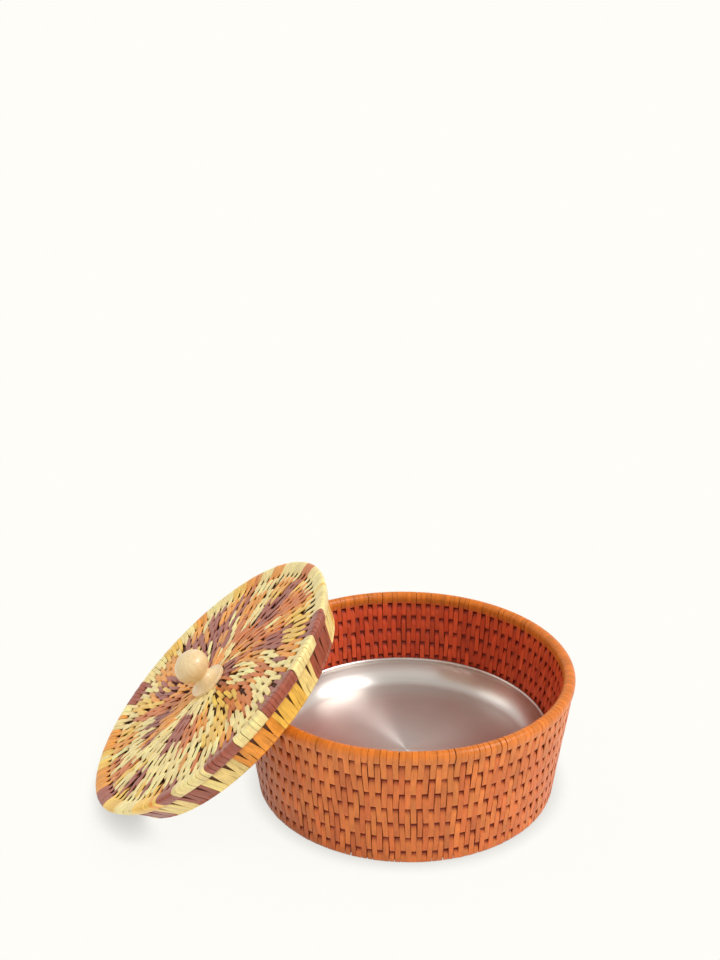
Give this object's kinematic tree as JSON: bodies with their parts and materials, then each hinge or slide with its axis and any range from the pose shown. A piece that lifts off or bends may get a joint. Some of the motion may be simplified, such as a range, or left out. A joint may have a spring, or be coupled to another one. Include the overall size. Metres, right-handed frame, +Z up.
{
  "type": "tortilla warmer",
  "caption": "Round woven cane basket with a loose steel dish inside and a leaning woven lid that has a turned wooden knob.",
  "frame": {"origin": "middle of the basket's flat underside, on the surface it stands on", "axes": "+Z up; the lid leans on the basket's -X side and rises towards +X; -Y is the side the picture was taken from"},
  "size_m": [0.3375, 0.2392, 0.1554],
  "materials": {
    "wall_cane": "terracotta stained flat cane strips, woven upright, satin varnish",
    "inner_cane": "red-brown stained cane strips of the basket's inside",
    "rim_cane": "orange stained cane strip wound tightly around the rim, glossy varnish",
    "core_cane": "plain round and flat cane, hidden inside the weave",
    "lid_cane": "cream, straw, golden and mauve-brown dyed strips, varnished",
    "lid_lining_cane": "natural straw-coloured strips of the lid's underside",
    "knob_wood": "turned pale beech, clear satin varnish",
    "dish_steel": "spun stainless steel with circular brushing",
    "screw_steel": "zinc plated steel"
  },
  "bodies": {
    "basket": {"base_weave": "wall_cane", "base_cane_rings": "core_cane", "base_lining": "inner_cane", "wall_weave_outer": "wall_cane", "wall_weave_inner": "inner_cane", "wall_hoop_1": "core_cane", "wall_hoop_2": "core_cane", "wall_hoop_3": "core_cane", "wall_hoop_4": "core_cane", "wall_hoop_5": "core_cane", "wall_hoop_6": "core_cane", "wall_hoop_7": "core_cane", "rim_hoop": "core_cane", "rim_wrap": "rim_cane"},
    "dish": {"steel_dish": "dish_steel"},
    "lid": {"lid_cane_rings": "core_cane", "lid_top_weave": "lid_cane", "lid_lining": "lid_lining_cane", "lid_rim_hoop": "core_cane", "lid_rim_wrap": "lid_cane", "lid_collar_hoop": "core_cane", "lid_collar_weave": "lid_cane", "lid_collar_lining": "lid_lining_cane", "lid_collar_edge": "lid_cane", "knob": "knob_wood", "knob_screw": "screw_steel", "knob_washer": "screw_steel"}
  },
  "joints": [
    {"name": "dish_lift", "type": "slide", "parent": "basket", "child": "dish", "axis": [0, 0, 1], "range_m": [0, 0.055]},
    {"name": "lid_swing", "type": "hinge", "parent": "basket", "child": "lid", "pos_m": [0.02989, 0.00272, -0.0617], "axis": [-0.0906, 0.9959, 0], "range_deg": [0, 41.7]}
  ]
}
